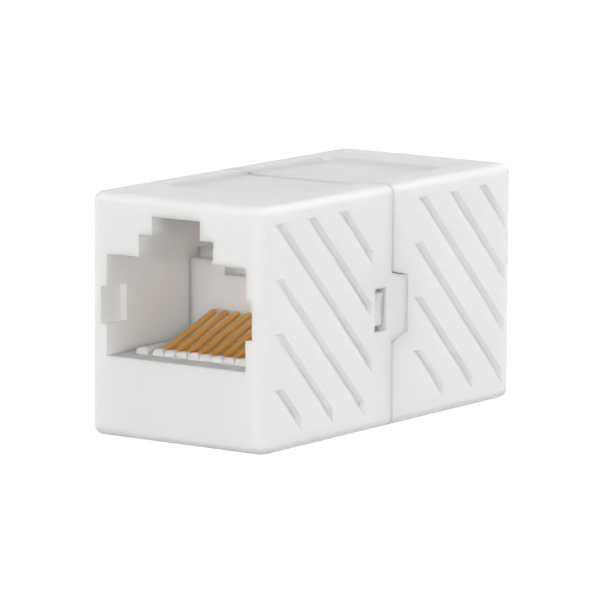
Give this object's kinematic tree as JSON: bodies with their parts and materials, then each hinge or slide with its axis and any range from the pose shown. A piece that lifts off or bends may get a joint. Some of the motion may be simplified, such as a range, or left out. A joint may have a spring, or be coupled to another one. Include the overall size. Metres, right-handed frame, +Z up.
{
  "type": "modular jack inline coupler",
  "caption": "Straight inline coupler for eight-contact modular plugs: a small box of two snap-together shells with a keyed jack port at each end.",
  "frame": {"origin": "centre of the flat base, midway between the two port faces", "axes": "+Y along the coupler from the front port to the rear port, +X across it, +Z up from the base to the top face with the recessed panel"},
  "size_m": [0.0152, 0.0312, 0.0173],
  "materials": {
    "housing": "satin moulded, pale grey-white",
    "carrier": "satin moulded, pale grey-white",
    "contact": "polished, gold plated",
    "board": "glass-fibre laminate with solder mask"
  },
  "bodies": {
    "root": {"circuit_board": "board", "front_shell": "housing", "front_contact_carrier": "carrier", "front_contact_1": "contact", "front_contact_2": "contact", "front_contact_3": "contact", "front_contact_4": "contact", "front_contact_5": "contact", "front_contact_6": "contact", "front_contact_7": "contact", "front_contact_8": "contact", "rear_shell": "housing", "rear_contact_carrier": "carrier", "rear_contact_1": "contact", "rear_contact_2": "contact", "rear_contact_3": "contact", "rear_contact_4": "contact", "rear_contact_5": "contact", "rear_contact_6": "contact", "rear_contact_7": "contact", "rear_contact_8": "contact"}
  },
  "joints": []
}
